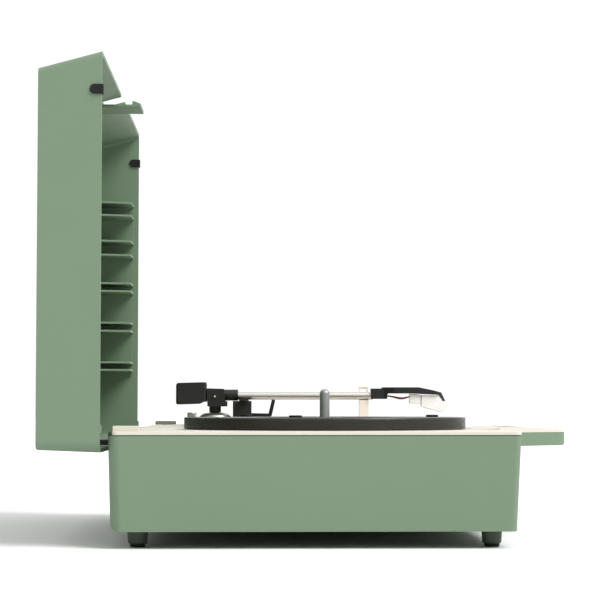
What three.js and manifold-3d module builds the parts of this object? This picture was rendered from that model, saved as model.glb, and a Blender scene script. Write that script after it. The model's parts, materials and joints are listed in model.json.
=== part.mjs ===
// A suitcase record player: a low green case with a cream deck, a front carrying handle,
// a belt-driven platter, a straight tonearm with its lift and rest, and a deep hinged lid.
// Millimetres. +X is the listener's right, -Y the front, +Z up, and the rubber feet stand on Z = 0.
// The lid is drawn open by a right angle, and the tonearm lies in its rest.

import * as THREE from "three";
import { mergeVertices } from "three/addons/utils/BufferGeometryUtils.js";
import Module from "manifold-3d";

const wasm = await Module();
wasm.setup();

// Case
const WIDTH = 358;
const HALF_WIDTH = WIDTH / 2;
const REAR_Y = 136.4; // rear plane of the case at deck level
const CASE_DEPTH = 267;
const CASE_BOTTOM = 11.2;
const CASE_TOP = 73.1; // joint between the green case and the cream deck
const DECK_TOP = 75.2;
const WALL = 2.5;
const REAR_WALL = 2.6;
const DRAFT = { rear: 1.7, front: 3.1, side: 3.0 }; // how far each wall leans in at the case's foot
const CORNER = { rear: 8, front: 4 };
const CLEAR = 0.1; // between pieces that rest on each other

// Lid
const LID_LENGTH = 260.2;
const LID_DEPTH = { rear: 41.1, front: 41.4 };
const LID_REAR_LEAN = 1.7;
const LID_FRONT_LEAN = 11.05;
const LID_SIDE_LEAN = 0.8;
const HINGE_INSET = 4.9; // hinge axis inside the rear plane
const HINGE_Z = 66.75;
const RIM_LIFT = 9.5; // rim plane above the hinge axis with the lid shut
const HINGE_X = 110;
const PIN_RADIUS = 1.5;
const PIN_HOLE = 1.62;

// Platter and drive
const SPINDLE_X = -28;
const SPINDLE_AHEAD = 145; // in front of the rear plane
const PLATTER_RADIUS = 102;
const PLATTER_BOTTOM = 75.7;
const PLATTER_TOP = 83.9;
const PAD_CIRCLE = 82.5;
const PAD_ANGLES = [14, 134, 254]; // degrees from straight ahead, towards the right
const SPINDLE_RADIUS = 3.6;
const BELT_RING = 48;
const PULLEY_RADIUS = 4.045;
const PULLEY_OFFSET = 56; // left of and behind the spindle
const BELT = { low: 76.6, high: 80.6, thick: 0.7, gap: 0.06 };

// Tonearm
const ARM_X = 105;
const ARM_AHEAD = 62.2;
const ARM_PIVOT_Z = 99.7;
const TUBE_Z = 100.2;
const TUBE_RADIUS = 3.1;
const ISLAND_TOP = 77.2; // raised right-hand part of the deck

const PI = Math.PI;
const ahead = (n) => REAR_Y - n;

// ---------------------------------------------------------------- shape helpers

// A polygon whose corners are rounded, each by its own radius.
function rounded(corners, radii, steps = 5) {
  const out = [];
  corners.forEach(([x, y], i) => {
    const r = Array.isArray(radii) ? radii[i] : radii;
    if (!r) {
      out.push([x, y]);
      return;
    }
    const before = corners[(i + corners.length - 1) % corners.length];
    const after = corners[(i + 1) % corners.length];
    const here = new THREE.Vector2(x, y);
    const a = new THREE.Vector2(...before).sub(here).normalize();
    const b = new THREE.Vector2(...after).sub(here).normalize();
    const half = Math.acos(THREE.MathUtils.clamp(a.dot(b), -1, 1)) / 2;
    const centre = a.clone().add(b).normalize().multiplyScalar(r / Math.sin(half)).add(here);
    const from = a.clone().multiplyScalar(r / Math.tan(half)).add(here).sub(centre);
    const to = b.clone().multiplyScalar(r / Math.tan(half)).add(here).sub(centre);
    let turn = to.angle() - from.angle();
    if (turn > PI) turn -= 2 * PI;
    if (turn < -PI) turn += 2 * PI;
    for (let k = 0; k <= steps; k++) {
      const angle = from.angle() + (turn * k) / steps;
      out.push([centre.x + r * Math.cos(angle), centre.y + r * Math.sin(angle)]);
    }
  });
  return out;
}

const rectangle = (x0, x1, y0, y1) => [[x0, y0], [x1, y0], [x1, y1], [x0, y1]];

function circle(x, y, r, sides) {
  return Array.from({ length: sides }, (_, i) => {
    const angle = (2 * PI * i) / sides;
    return [x + r * Math.cos(angle), y + r * Math.sin(angle)];
  });
}

function extruded(points, depth, holes = []) {
  const shape = new THREE.Shape(points.map(([x, y]) => new THREE.Vector2(x, y)));
  for (const hole of holes) {
    shape.holes.push(new THREE.Path(hole.map(([x, y]) => new THREE.Vector2(x, y))));
  }
  return new THREE.ExtrudeGeometry(shape, { depth, bevelEnabled: false });
}

// An outline in X and Y, raised from z0 to z1.
const prismZ = (points, z0, z1, holes) => extruded(points, z1 - z0, holes).translate(0, 0, z0);

// An outline in Y and Z, drawn out from x0 to x1.
function prismX(points, x0, x1) {
  const axes = new THREE.Matrix4().makeBasis(
    new THREE.Vector3(0, 1, 0),
    new THREE.Vector3(0, 0, 1),
    new THREE.Vector3(1, 0, 0),
  );
  return extruded(points, x1 - x0).applyMatrix4(axes).translate(x0, 0, 0);
}

// An outline in X and Z, drawn out from y0 to y1.
function prismY(points, y0, y1, holes) {
  const axes = new THREE.Matrix4().makeBasis(
    new THREE.Vector3(1, 0, 0),
    new THREE.Vector3(0, 0, 1),
    new THREE.Vector3(0, -1, 0),
  );
  return extruded(points, y1 - y0, holes).applyMatrix4(axes).translate(0, y1, 0);
}

function box(x0, x1, y0, y1, z0, z1) {
  return new THREE.BoxGeometry(x1 - x0, y1 - y0, z1 - z0)
    .translate((x0 + x1) / 2, (y0 + y1) / 2, (z0 + z1) / 2);
}

// A profile of [radius, height] turned about the vertical; a ring's profile closes on itself.
function turned(profile, sides) {
  const ring = profile[0][0] > 0 && profile[profile.length - 1][0] > 0;
  const points = (ring ? [...profile, profile[0]] : profile).map(([r, h]) => new THREE.Vector2(r, h));
  return new THREE.LatheGeometry(points, sides).rotateX(PI / 2);
}

const rod = (r, z0, z1, sides = 20) => new THREE.CylinderGeometry(r, r, z1 - z0, sides)
  .rotateX(PI / 2).translate(0, 0, (z0 + z1) / 2);

const rodX = (r, x0, x1, sides = 16) => new THREE.CylinderGeometry(r, r, x1 - x0, sides)
  .rotateZ(PI / 2).translate((x0 + x1) / 2, 0, 0);

const rodY = (r, y0, y1, sides = 20) => new THREE.CylinderGeometry(r, r, y1 - y0, sides)
  .translate(0, (y0 + y1) / 2, 0);

// Moves every point of a geometry by a rule.
function shaped(geometry, rule) {
  const at = geometry.getAttribute("position");
  const point = new THREE.Vector3();
  for (let i = 0; i < at.count; i++) {
    rule(point.fromBufferAttribute(at, i));
    at.setXYZ(i, point.x, point.y, point.z);
  }
  return geometry;
}

function solid(geometry) {
  const bare = geometry.clone();
  bare.deleteAttribute("normal");
  bare.deleteAttribute("uv");
  const merged = mergeVertices(bare, 1e-4);
  return new wasm.Manifold(new wasm.Mesh({
    numProp: 3,
    vertProperties: merged.getAttribute("position").array,
    triVerts: new Uint32Array(merged.index.array),
  }));
}

function geometryOf(body) {
  const mesh = body.getMesh();
  const geometry = new THREE.BufferGeometry();
  geometry.setAttribute("position", new THREE.BufferAttribute(mesh.vertProperties, 3));
  geometry.setIndex(new THREE.BufferAttribute(mesh.triVerts, 1));
  const flat = geometry.toNonIndexed();
  flat.computeVertexNormals();
  return flat;
}

const joined = (...parts) => parts.map(solid).reduce((a, b) => a.add(b));
const cut = (body, ...tools) => tools.map(solid).reduce((a, b) => a.subtract(b), body);

// ---------------------------------------------------------------- materials and groups

const surface = (color, roughness, metalness = 0) =>
  new THREE.MeshStandardMaterial({ color, roughness, metalness });

const look = {
  green: () => surface(0x869d83, 0.55),
  cream: () => surface(0xdedbcf, 0.5),
  black: () => surface(0x1d1d1c, 0.5),
  charcoal: () => surface(0x33322f, 0.55),
  rubber: () => surface(0x141414, 0.85),
  steel: () => surface(0xb4b4b0, 0.3, 1),
  silver: () => surface(0xc9c7c0, 0.35, 0.6),
  beige: () => surface(0xe4ddcf, 0.5),
  white: () => surface(0xf1f1ec, 0.35),
  brass: () => surface(0xb08d4a, 0.35, 1),
  board: () => surface(0x1f5b3a, 0.6),
  red: () => surface(0x8c2a26, 0.5),
};

const group = new THREE.Group();

function add(parent, name, shape, material) {
  const mesh = new THREE.Mesh(shape instanceof THREE.BufferGeometry ? shape : geometryOf(shape), material());
  mesh.name = name;
  parent.add(mesh);
  return mesh;
}

function placed(parent, x = 0, y = 0, z = 0) {
  const holder = new THREE.Group();
  holder.position.set(x, y, z);
  parent.add(holder);
  return holder;
}

const SIDES = { left: -1, right: 1 };

// Two distances from the middle plane as ordered X values on one side of it.
const across = (sign, a, b) => [sign * a, sign * b].sort((p, q) => p - q);

// ---------------------------------------------------------------- case

const caseLean = (z) => (DECK_TOP - z) / (DECK_TOP - CASE_BOTTOM);

// The case's walls lean in towards its foot.
function leanCase(point) {
  const t = caseLean(point.z);
  const n = REAR_Y - point.y;
  point.x *= 1 - (DRAFT.side * t) / HALF_WIDTH;
  point.y = ahead(DRAFT.rear * t + (n * (CASE_DEPTH - (DRAFT.rear + DRAFT.front) * t)) / CASE_DEPTH);
}

function caseOutline(inset, rearInset = inset) {
  const w = HALF_WIDTH - inset;
  const radii = [CORNER.front, CORNER.front, CORNER.rear, CORNER.rear].map((r) => r - inset / 2);
  return rounded(rectangle(-w, w, ahead(CASE_DEPTH - inset), ahead(rearInset)), radii, 5);
}

const caseProfile = rounded(
  [
    [ahead(0), DECK_TOP],
    [ahead(CASE_DEPTH), DECK_TOP],
    [ahead(CASE_DEPTH - DRAFT.front), CASE_BOTTOM],
    [ahead(DRAFT.rear), CASE_BOTTOM],
  ],
  [1.8, 0, 1.3, 5.5],
);

const HINGE_SLOT = 13.2; // half width of the slot for each hinge arm
const SPEAKER_X = 122;
const SPEAKER_Z = 43;
const GRILLE = { w: 68, h: 42, r: 6, thick: 2.1, gap: 0.3 };
// The sunk tray for the sockets, measured from the middle of its mouth in the leaning rear wall.
const RECESS = { half: 50, high: 11, deep: 9.5, z: 40 };
const rearLean = -Math.atan(DRAFT.rear / (DECK_TOP - CASE_BOTTOM));
const frontLean = Math.atan(DRAFT.front / (DECK_TOP - CASE_BOTTOM));
const recessAt = [0, ahead(DRAFT.rear * caseLean(RECESS.z)), RECESS.z];

const outerBlock = solid(shaped(prismZ(caseOutline(0), CASE_BOTTOM, DECK_TOP), leanCase));
const innerBlock = shaped(prismZ(caseOutline(WALL, REAR_WALL), CASE_BOTTOM, DECK_TOP + 1), leanCase)
  .translate(0, 0, WALL);
let shell = outerBlock.intersect(solid(prismX(caseProfile, -HALF_WIDTH, HALF_WIDTH)));
shell = cut(
  shell,
  innerBlock,
  box(-HALF_WIDTH - 1, HALF_WIDTH + 1, ahead(CASE_DEPTH + 1), ahead(REAR_WALL), CASE_TOP, DECK_TOP + 1),
  box(-RECESS.half, RECESS.half, -8, 3, -RECESS.high, RECESS.high).rotateX(rearLean).translate(...recessAt),
);
for (const sign of Object.values(SIDES)) {
  const x = sign * HINGE_X;
  const opening = rounded(rectangle(-GRILLE.w / 2, GRILLE.w / 2, -GRILLE.h / 2, GRILLE.h / 2), GRILLE.r);
  shell = cut(
    shell,
    box(x - HINGE_SLOT, x + HINGE_SLOT, ahead(REAR_WALL + 1), ahead(-1), 62, DECK_TOP + 1),
    prismY(opening, ahead(CASE_DEPTH + 1), ahead(CASE_DEPTH - 7))
      .translate(sign * SPEAKER_X, 0, SPEAKER_Z),
  );
}

const FOOT_X = 154;
const FOOT_AHEAD = { rear: 18.4, front: 249.9 };
const FOOT_PAD_TOP = 1.9;
const footSpots = [];
for (const [side, sign] of Object.entries(SIDES)) {
  for (const [end, n] of Object.entries(FOOT_AHEAD)) {
    footSpots.push({ name: `${end}_${side}`, x: sign * FOOT_X, y: ahead(n) });
  }
}
const CUP_TOP = CASE_BOTTOM + 1;
const footCup = [
  [0, FOOT_PAD_TOP + CLEAR], [5.2, FOOT_PAD_TOP + CLEAR], [5.9, FOOT_PAD_TOP + 0.5],
  [6.3, FOOT_PAD_TOP + 1.5],
  [7.0, CUP_TOP], [0, CUP_TOP],
];
for (const { x, y } of footSpots) {
  shell = shell.add(solid(turned(footCup, 20).translate(x, y, 0)));
}
add(group, "base_shell", shell, look.green);

for (const { name, x, y } of footSpots) {
  const pad = placed(group, x, y);
  const profile = [[0, 0], [4.6, 0], [5.0, 0.5], [5.0, FOOT_PAD_TOP], [0, FOOT_PAD_TOP]];
  add(pad, `foot_pad_${name}`, turned(profile, 20), look.rubber);
}

// ---------------------------------------------------------------- deck

const platterAt = [SPINDLE_X, ahead(SPINDLE_AHEAD)];
const pulleyAt = [SPINDLE_X - PULLEY_OFFSET, ahead(SPINDLE_AHEAD - PULLEY_OFFSET)];
const knobAt = {
  volume: [125, ahead(21.8)],
  function: [135, ahead(42.6)],
  speed: [130, ahead(112)],
  autostop: [130, ahead(146)],
};
const LATCH = { half: 17.5, rear: 247.3, front: 253.8, lip: 256.2, lipBottom: 68.9 };

const deckOutline = rounded(
  rectangle(-HALF_WIDTH, HALF_WIDTH, ahead(CASE_DEPTH), ahead(REAR_WALL + CLEAR)),
  [CORNER.front, CORNER.front, 4, 4],
  5,
);
// The raised part of the deck slopes down to it all round.
const ISLAND = { x0: 79, x1: 168, rear: 4, front: 236 };
const ISLAND_SLOPE = { rear: 9, other: 4 };
const island = prismZ(
  rounded(rectangle(ISLAND.x0, ISLAND.x1, ahead(ISLAND.front), ahead(ISLAND.rear)), [10, 10, 6, 6], 5),
  DECK_TOP - 0.5,
  ISLAND_TOP,
);
const islandMiddle = [(ISLAND.x0 + ISLAND.x1) / 2, ahead((ISLAND.rear + ISLAND.front) / 2)];
shaped(island, (point) => {
  if (point.z < DECK_TOP) return;
  const dx = point.x - islandMiddle[0];
  const dy = point.y - islandMiddle[1];
  point.x -= Math.sign(dx) * ISLAND_SLOPE.other;
  point.y -= dy > 0 ? ISLAND_SLOPE.rear : -ISLAND_SLOPE.other;
});
// A low step stands in the deck's rear left corner.
const STEP = { x0: -172.2, x1: -158, rear: 3.1, front: 20, top: 78.9 };
let deck = joined(
  prismZ(deckOutline, CASE_TOP + CLEAR, DECK_TOP),
  island,
  box(STEP.x0, STEP.x1, ahead(STEP.front), ahead(STEP.rear), DECK_TOP - 0.5, STEP.top),
  box(-LATCH.half, LATCH.half, ahead(LATCH.lip), ahead(LATCH.front), LATCH.lipBottom, CASE_TOP + 1),
);
const drilled = ([x, y], r) => rod(r, 60, 90, 20).translate(x, y, 0);
deck = cut(
  deck,
  drilled(platterAt, 8.2),
  drilled(pulleyAt, 7),
  drilled([ARM_X, ahead(ARM_AHEAD)], 5),
  drilled(knobAt.volume, 3.2),
  drilled(knobAt.function, 2.2),
  box(-LATCH.half, LATCH.half, ahead(LATCH.front), ahead(LATCH.rear), 60, 90),
  ...["speed", "autostop"].map((name) => {
    const [x, y] = knobAt[name];
    return box(x - 2, x + 2, y - 10, y + 10, 60, 90);
  }),
  ...Object.values(SIDES).map((side) => box(
    side * HINGE_X - HINGE_SLOT,
    side * HINGE_X + HINGE_SLOT,
    ahead(12),
    ahead(0),
    60,
    90,
  )),
);
add(group, "deck_plate", deck, look.cream);

// ---------------------------------------------------------------- carrying handle

const HANDLE = { root: 72, tip: 40, length: 51.6, bottom: 63.5, bar: 21 };
const HANDLE_ROOT = CASE_DEPTH + CLEAR;
const handleTip = ahead(HANDLE_ROOT + HANDLE.length);
const handleOutline = rounded(
  [
    [-HANDLE.root, ahead(HANDLE_ROOT)],
    [-HANDLE.tip, handleTip],
    [HANDLE.tip, handleTip],
    [HANDLE.root, ahead(HANDLE_ROOT)],
  ],
  [0, 14, 14, 0],
  6,
);
const fingerHole = rounded(
  [
    [-50, ahead(HANDLE_ROOT + 5)],
    [-36, ahead(HANDLE_ROOT + HANDLE.length - HANDLE.bar)],
    [36, ahead(HANDLE_ROOT + HANDLE.length - HANDLE.bar)],
    [50, ahead(HANDLE_ROOT + 5)],
  ],
  [3, 9, 9, 3],
  5,
);
// Side view of the handle's lower half: its tip is rounded underneath.
const gripSide = rounded(
  [
    [ahead(HANDLE_ROOT), CASE_TOP],
    [handleTip, CASE_TOP],
    [handleTip, HANDLE.bottom + 0.3],
    [ahead(HANDLE_ROOT), HANDLE.bottom],
  ],
  [0, 0, 3, 0],
);
const grip = cut(
  solid(prismZ(handleOutline, HANDLE.bottom - 1, CASE_TOP))
    .intersect(solid(prismX(gripSide, -HANDLE.root - 1, HANDLE.root + 1))),
  prismZ(fingerHole, HANDLE.bottom - 2, CASE_TOP + 1),
);
add(group, "handle_grip", grip, look.green);

// The cream top half starts on the deck, rises over the case's edge, then falls towards the tip.
const CAP_START = 254.2;
const capSide = [
  [ahead(CAP_START), DECK_TOP + CLEAR],
  [ahead(HANDLE_ROOT), DECK_TOP + CLEAR],
  [ahead(HANDLE_ROOT), CASE_TOP + CLEAR],
  [handleTip, CASE_TOP + CLEAR],
  [handleTip, 75.3],
  [ahead(305), 75.5],
  [ahead(296), 76.2],
  [ahead(284), 76.9],
  [ahead(270), 77.1],
  [ahead(266), 76.9],
  [ahead(261), 75.7],
];
const cap = cut(
  joined(
    prismZ(handleOutline, CASE_TOP, 80),
    box(-HANDLE.root, HANDLE.root, ahead(HANDLE_ROOT + 0.01), ahead(CAP_START), CASE_TOP, 80),
  )
    .intersect(solid(prismX(capSide, -HANDLE.root - 1, HANDLE.root + 1))),
  prismZ(fingerHole, CASE_TOP - 1, 80),
);
add(group, "handle_cap", cap, look.cream);

// ---------------------------------------------------------------- speakers

const grillePlate = (() => {
  const w = GRILLE.w / 2 - GRILLE.gap;
  const h = GRILLE.h / 2 - GRILLE.gap;
  const slots = [];
  for (let row = -3; row <= 3; row++) {
    slots.push(rounded(rectangle(-29, 29, row * 5.2 - 1.3, row * 5.2 + 1.3), 1.25, 3));
  }
  const plate = rounded(rectangle(-w, w, -h, h), GRILLE.r - GRILLE.gap);
  return prismY(plate, -GRILLE.thick / 2, GRILLE.thick / 2, slots);
})();
const speakerProfile = [
  [0, -27], [13, -27], [14, -26], [14, -18], [12, -17.5], [14, -15], [24, -5], [28, -1.5], [28, 0],
  [25, 0], [23.5, -1], [19, -3.5], [8, -9.5], [6, -8], [0, -6.5],
];
for (const [side, sign] of Object.entries(SIDES)) {
  const front = ahead(CASE_DEPTH - DRAFT.front * caseLean(SPEAKER_Z));
  const plate = placed(group, sign * SPEAKER_X, front + GRILLE.thick / 2 + 0.15, SPEAKER_Z);
  plate.rotation.x = frontLean;
  add(plate, `speaker_grille_${side}`, grillePlate.clone(), look.charcoal);
  const driver = placed(group, sign * SPEAKER_X, front + 5, SPEAKER_Z);
  driver.rotation.x = PI / 2;
  add(driver, `speaker_${side}`, turned(speakerProfile, 20), look.black);
}

// ---------------------------------------------------------------- back and insides

// A sunk tray in the rear wall holds the sockets.
const TRAY = { gap: 0.3, skin: 1.6, flange: 2.5, proud: 0.95 };
const SOCKETS = { power_inlet: -32, line_jack_left: 14, line_jack_right: 34 };
const tray = placed(group, ...recessAt);
tray.rotation.x = rearLean;
const mouth = { x: RECESS.half - TRAY.gap, z: RECESS.high - TRAY.gap };
const trayBody = cut(
  joined(
    prismY(
      rounded(
        rectangle(
          -mouth.x - TRAY.flange, mouth.x + TRAY.flange,
          -mouth.z - TRAY.flange, mouth.z + TRAY.flange,
        ),
        2,
        3,
      ),
      0.15,
      TRAY.proud,
    ),
    box(-mouth.x, mouth.x, -RECESS.deep - TRAY.skin, 0.5, -mouth.z, mouth.z),
  ),
  box(-mouth.x + TRAY.skin, mouth.x - TRAY.skin, -RECESS.deep, 2, -mouth.z + TRAY.skin, mouth.z - TRAY.skin),
  ...Object.values(SOCKETS).map((x) => rodY(4.5, -RECESS.deep - 3, 1 - RECESS.deep, 20).translate(x, 0, 0)),
);
add(tray, "rear_panel", trayBody, look.black);
for (const [name, x] of Object.entries(SOCKETS)) {
  const jack = placed(tray, x, -RECESS.deep);
  const body = name === "power_inlet"
    ? cut(
      joined(box(-5.2, 5.2, CLEAR, 3, -5.2, 5.2), rodY(4.3, -9, 1, 20)),
      rodY(3.3, -7, 6, 20),
    )
    : cut(
      joined(rodY(5.4, CLEAR, 1.2, 24), rodY(4.1, 1, 4.3, 24), rodY(4.3, -9, 0.5, 20)),
      rodY(1.6, -4, 6, 12),
    );
  add(jack, name, body, name === "power_inlet" ? look.black : look.steel);
}

const boardAt = placed(group, 20, ahead(60), 0);
const board = joined(
  box(-50, 50, -32, 32, 18.2, 19.8),
  box(-20, 20, -28, -12, 19.5, 28),
  rod(6, 19.5, 33, 16).translate(32, 18, 0),
  rod(4, 19.5, 30, 12).translate(16, 20, 0),
  box(-42, -26, 8, 24, 19.5, 26),
  ...[[-44, -26], [44, -26], [-44, 26], [44, 26]]
    .map(([x, y]) => rod(2.5, 13.8, 18.6, 10).translate(x, y, 0)),
);
add(boardAt, "main_board", board, look.board);

// ---------------------------------------------------------------- platter and drive

const bearingSpot = placed(group, ...platterAt);
add(
  bearingSpot,
  "platter_bearing",
  turned(
    [[3.68, 56], [7.9, 56], [7.9, 70], [12, 70], [12, 73.0], [7.9, 73.0], [7.9, 76.0], [3.68, 76.0]],
    24,
  ),
  look.brass,
);

const platter = placed(group, ...platterAt);
const UNDER = 81.4; // underside of the platter's plate
const BORE = SPINDLE_RADIUS + 0.1;
add(
  platter,
  "platter",
  turned(
    [
      [BORE, 76.25], [9.5, 76.25], [9.5, UNDER], [BELT_RING - 2.5, UNDER], [BELT_RING - 2.5, 76.3],
      [BELT_RING, 76.3], [BELT_RING, UNDER], [99, UNDER], [99, PLATTER_BOTTOM],
      [PLATTER_RADIUS - 0.6, PLATTER_BOTTOM],
      [PLATTER_RADIUS, 76.3], [PLATTER_RADIUS, 82.7], [PLATTER_RADIUS - 1.4, PLATTER_TOP],
      [BORE, PLATTER_TOP],
    ],
    64,
  ),
  look.charcoal,
);
PAD_ANGLES.forEach((degrees, i) => {
  const angle = THREE.MathUtils.degToRad(degrees);
  const pad = placed(platter, PAD_CIRCLE * Math.sin(angle), -PAD_CIRCLE * Math.cos(angle));
  const z = PLATTER_TOP + 0.03;
  add(
    pad,
    `platter_pad_${i + 1}`,
    turned([[0, z], [4.5, z], [4.5, z + 1.1], [3.9, z + 1.6], [0, z + 1.6]], 20),
    look.rubber,
  );
});
const SPINDLE_TOP = PLATTER_TOP + 20.4;
add(
  platter,
  "spindle",
  turned(
    [
      [0, 57], [SPINDLE_RADIUS, 57], [SPINDLE_RADIUS, SPINDLE_TOP - 3.2], [3.1, SPINDLE_TOP - 1.7],
      [2.1, SPINDLE_TOP - 0.6], [0.9, SPINDLE_TOP - 0.1], [0, SPINDLE_TOP],
    ],
    24,
  ),
  look.steel,
);

const motorSpot = placed(group, ...pulleyAt);
add(
  motorSpot,
  "motor",
  turned([[1.3, 46], [15, 46], [17, 48], [17, 70], [15.5, 71.5], [6, 71.5], [6, 72.9], [1.3, 72.9]], 20),
  look.steel,
);
add(
  motorSpot,
  "motor_pulley",
  turned(
    [
      [0, 48], [1.2, 48], [1.2, 74], [PULLEY_RADIUS + 1.2, 74], [PULLEY_RADIUS + 1.2, 76.1],
      [PULLEY_RADIUS, 76.3], [PULLEY_RADIUS, 80.7], [2, 80.9], [0, 80.9],
    ],
    20,
  ),
  look.brass,
);

// The belt hugs the platter's ring and the pulley, joined by two straight runs.
function beltLoop(out) {
  const span = PULLEY_OFFSET * Math.SQRT2;
  const R = BELT_RING + out;
  const r = PULLEY_RADIUS + out;
  const toward = Math.atan2(pulleyAt[1] - platterAt[1], pulleyAt[0] - platterAt[0]);
  const wrap = Math.acos((R - r) / span);
  const points = [];
  const ringSteps = 40;
  for (let i = 0; i <= ringSteps; i++) {
    const a = toward + wrap + ((2 * PI - 2 * wrap) * i) / ringSteps;
    points.push([platterAt[0] + R * Math.cos(a), platterAt[1] + R * Math.sin(a)]);
  }
  const pulleySteps = 8;
  for (let i = 0; i <= pulleySteps; i++) {
    const a = toward - wrap + (2 * wrap * i) / pulleySteps;
    points.push([pulleyAt[0] + r * Math.cos(a), pulleyAt[1] + r * Math.sin(a)]);
  }
  return points;
}
add(
  group,
  "drive_belt",
  prismZ(beltLoop(BELT.gap + BELT.thick), BELT.low, BELT.high, [beltLoop(BELT.gap + 0.12).reverse()]),
  look.rubber,
);

// ---------------------------------------------------------------- controls

const volume = placed(group, ...knobAt.volume);
add(
  volume,
  "volume_knob",
  turned(
    [[0, 66], [3, 66], [3, ISLAND_TOP + 0.2], [8.4, ISLAND_TOP + 0.2], [8.5, 79.4], [7.7, 80.2], [0, 80.2]],
    24,
  ),
  look.cream,
);
const selector = placed(group, ...knobAt.function);
add(
  selector,
  "function_knob",
  turned(
    [[0, 66], [2, 66], [2, ISLAND_TOP + 0.2], [3.9, ISLAND_TOP + 0.2], [3.9, 86.4], [3.4, 86.9], [0, 86.9]],
    24,
  ),
  look.silver,
);
// The speed selector stands at its middle stop, the auto-stop switch at its rear one.
const sliders = { speed_selector: [knobAt.speed, 0], autostop_switch: [knobAt.autostop, 4] };
for (const [name, [[x, y], back]] of Object.entries(sliders)) {
  const slider = placed(group, x, y + back);
  const cap = [[-5, ISLAND_TOP + 0.2], [5, ISLAND_TOP + 0.2], [3.5, 81.2], [-3.5, 81.2]];
  const body = joined(
    box(-1.7, 1.7, -3, 3, 70, ISLAND_TOP + 1),
    prismX(rounded(cap, [0, 0, 1, 1], 3), -4, 4),
  );
  add(slider, name, body, look.black);
}

// ---------------------------------------------------------------- tonearm stand, rest and lift

const armSpot = placed(group, ARM_X, ahead(ARM_AHEAD));
add(
  armSpot,
  "tonearm_base",
  turned(
    [
      [3.4, 68], [4.8, 68], [4.8, ISLAND_TOP + CLEAR], [13, ISLAND_TOP + CLEAR], [13, 82.5], [12, 84.6],
      [9.5, 86.2], [6, 86.8], [3.4, 86.8],
    ],
    28,
  ),
  look.silver,
);

// The rest's outer side ends in two ears, which hold the clip's pin.
const REST = {
  left: 102, ledge: 109, right: 113, rear: 177.6, front: 184.9, ear: 1.35, seat: 96.7, shoulder: 103,
};
const CLIP = {
  x: 111.3, z: 107.05, knuckle: 1.2, pin: 0.5, hole: 0.62, narrow: 2.6, reach: 11.6, skin: 0.55,
};
const restEar = rounded([[110, 102.5], [112.6, 102.5], [112.6, 108.3], [110, 108.3]], [0, 0, 1.1, 1.1], 4);
const restColumn = joined(
  box(REST.left, REST.right, ahead(REST.front), ahead(REST.rear), ISLAND_TOP + CLEAR, REST.seat),
  box(REST.ledge, REST.right, ahead(REST.front), ahead(REST.rear), REST.seat - 0.7, REST.shoulder),
  prismY(restEar, ahead(REST.front), ahead(REST.front - REST.ear)),
  prismY(restEar, ahead(REST.rear + REST.ear), ahead(REST.rear)),
  box(
    REST.left - 1.5,
    REST.right + 1.5,
    ahead(REST.front + 2),
    ahead(REST.rear - 2),
    ISLAND_TOP + CLEAR,
    ISLAND_TOP + 1.8,
  ),
);
const restBody = cut(
  restColumn,
  rodY(TUBE_RADIUS + 0.6, ahead(REST.front + 3), ahead(REST.rear - 3), 24).translate(ARM_X, 0, TUBE_Z),
  rodY(CLIP.hole, ahead(REST.front + 1), ahead(REST.rear - 1), 14).translate(CLIP.x, 0, CLIP.z),
);
add(group, "arm_rest", restBody, look.beige);

// The clip folds over the arm from its open place outside the rest. Its leaf is narrow between the ears.
const clip = placed(group, CLIP.x, 0, CLIP.z);
const betweenEars = [ahead(REST.front - REST.ear - 0.3), ahead(REST.rear + REST.ear + 0.3)];
const overEars = [ahead(REST.front + 0.2), ahead(REST.rear - 0.2)];
const clipBody = joined(
  rodY(CLIP.knuckle, ...betweenEars, 16),
  rodY(CLIP.pin, ahead(REST.front - 0.1), ahead(REST.rear + 0.1), 12),
  box(0, CLIP.narrow + 0.5, ...betweenEars, -CLIP.skin, CLIP.skin),
  box(CLIP.narrow, CLIP.reach, ...overEars, -CLIP.skin, CLIP.skin),
  box(CLIP.reach - 1.3, CLIP.reach, ...overEars, 0, 2.1),
);
add(clip, "arm_clip", clipBody, look.beige);

const LIFT = { x0: 97, x1: 113, rear: 76.45, front: 91.3, top: 96.1 };
const liftMiddle = [ARM_X, ahead((LIFT.rear + LIFT.front) / 2)];
const LEVER_PIVOT = { ahead: 85, z: 85 };
const housing = cut(
  joined(
    prismZ(
      rounded(rectangle(LIFT.x0, LIFT.x1, ahead(LIFT.front), ahead(LIFT.rear)), 1.2, 3),
      ISLAND_TOP + CLEAR,
      LIFT.top,
    ),
    box(
      LIFT.x0 - 2,
      LIFT.x1 + 0.1,
      ahead(LIFT.front + 1.5),
      ahead(LIFT.rear),
      ISLAND_TOP + CLEAR,
      ISLAND_TOP + 2,
    ),
  ),
  rod(2.2, 84, 110, 20).translate(...liftMiddle, 0),
  rodX(1.6, 108, 120).translate(0, ahead(LEVER_PIVOT.ahead), LEVER_PIVOT.z),
);
add(group, "lift_housing", housing, look.black);

const platform = placed(group, ...liftMiddle);
const PLATFORM = { low: 96.2, high: 96.9, lip: 98.5, left: -29.5, right: 11, front: -5.2, rear: 2.4 };
const platformBody = joined(
  rod(2.1, 86, 96.5, 20),
  box(PLATFORM.left, PLATFORM.right, PLATFORM.front, PLATFORM.rear, PLATFORM.low, PLATFORM.high),
  box(PLATFORM.left, PLATFORM.left + 1.6, PLATFORM.front, PLATFORM.rear, PLATFORM.low, PLATFORM.lip),
);
add(platform, "lift_platform", platformBody, look.black);

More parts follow.
